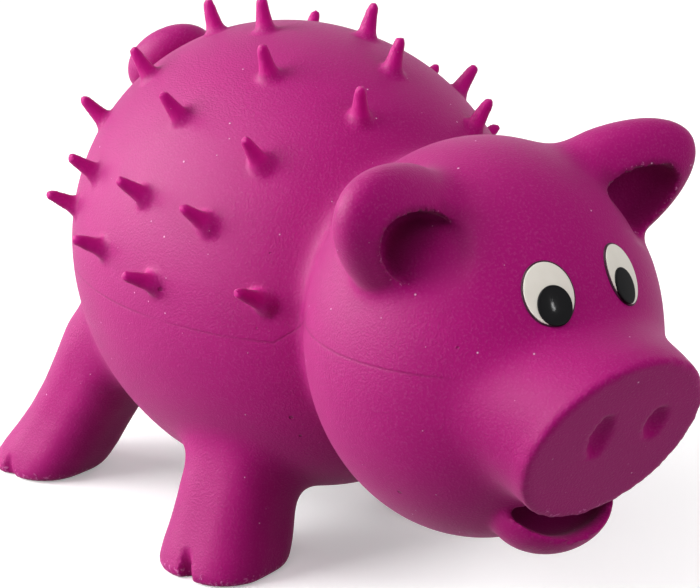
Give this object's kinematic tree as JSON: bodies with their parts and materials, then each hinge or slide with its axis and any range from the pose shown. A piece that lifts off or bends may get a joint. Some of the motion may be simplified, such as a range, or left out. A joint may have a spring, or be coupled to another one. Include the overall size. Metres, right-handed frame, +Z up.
{
  "type": "latex pig dog toy",
  "caption": "Squeezable latex pig for dogs: round body with soft spines, flexing head, ears, legs and curled tail, filled with fibre round a grunting bellows unit.",
  "frame": {"origin": "on the ground under the middle of the pig's length and width", "axes": "+X towards the nose, +Y towards the pig's left, +Z up"},
  "size_m": [0.2044, 0.1184, 0.1318],
  "materials": {
    "latex": "satin magenta latex",
    "fibre": "loose polyester fibre",
    "eye_white": "glossy warm white",
    "pupil": "glossy black",
    "voice_plastic": "plain moulded",
    "bellows_vinyl": "matte vinyl",
    "reed_brass": "rolled sheet"
  },
  "bodies": {
    "torso": {"torso_skin": "latex", "torso_fill": "fibre", "vent_plug": "latex", "voice_base": "voice_plastic", "voice_bellows": "bellows_vinyl", "reed_tube": "voice_plastic", "reed_tongue": "reed_brass", "reed_clip": "voice_plastic"},
    "squeeze_lid": {"voice_lid": "voice_plastic"},
    "head": {"head_skin": "latex", "head_fill": "fibre", "left_eye_white": "eye_white", "left_pupil": "pupil", "right_eye_white": "eye_white", "right_pupil": "pupil"},
    "left_ear": {"left_ear": "latex"},
    "right_ear": {"right_ear": "latex"},
    "front_left_leg": {"front_left_leg": "latex", "front_left_leg_fill": "fibre"},
    "front_right_leg": {"front_right_leg": "latex", "front_right_leg_fill": "fibre"},
    "rear_left_leg": {"rear_left_leg": "latex", "rear_left_leg_fill": "fibre"},
    "rear_right_leg": {"rear_right_leg": "latex", "rear_right_leg_fill": "fibre"},
    "tail": {"tail": "latex"}
  },
  "joints": [
    {"name": "squeeze", "type": "slide", "parent": "torso", "child": "squeeze_lid", "axis": [0, 0, -1], "range_m": [0, 0.008], "stiffness_N_per_m": 400, "deforming": ["voice_bellows"]},
    {"name": "head_nod", "type": "hinge", "parent": "torso", "child": "head", "pos_m": [0.0479, 0, 0.0679], "axis": [0, 1, 0], "range_deg": [-6, 6], "stiffness_Nm_per_rad": 1.2},
    {"name": "left_ear_flex", "type": "hinge", "parent": "head", "child": "left_ear", "pos_m": [0.05302, 0.02619, 0.09789], "axis": [0, -0.527, 0.8499], "range_deg": [-12, 12], "stiffness_Nm_per_rad": 0.15},
    {"name": "right_ear_flex", "type": "hinge", "parent": "head", "child": "right_ear", "pos_m": [0.05302, -0.02619, 0.09789], "axis": [0, 0.527, 0.8499], "range_deg": [-12, 12], "stiffness_Nm_per_rad": 0.15},
    {"name": "front_left_leg_flex", "type": "hinge", "parent": "torso", "child": "front_left_leg", "pos_m": [-0.01299, 0.02904, 0.036], "axis": [0, 1, 0], "range_deg": [-8, 8], "stiffness_Nm_per_rad": 1},
    {"name": "front_right_leg_flex", "type": "hinge", "parent": "torso", "child": "front_right_leg", "pos_m": [-0.01299, -0.02904, 0.036], "axis": [0, 1, 0], "range_deg": [-8, 8], "stiffness_Nm_per_rad": 1},
    {"name": "rear_left_leg_flex", "type": "hinge", "parent": "torso", "child": "rear_left_leg", "pos_m": [-0.06499, 0.02571, 0.04502], "axis": [0, 1, 0], "range_deg": [-8, 8], "stiffness_Nm_per_rad": 1},
    {"name": "rear_right_leg_flex", "type": "hinge", "parent": "torso", "child": "rear_right_leg", "pos_m": [-0.06499, -0.02571, 0.04502], "axis": [0, 1, 0], "range_deg": [-8, 8], "stiffness_Nm_per_rad": 1},
    {"name": "tail_flex", "type": "hinge", "parent": "torso", "child": "tail", "pos_m": [-0.07938, 0, 0.09983], "axis": [0, 1, 0], "range_deg": [-8, 8], "stiffness_Nm_per_rad": 0.1}
  ]
}
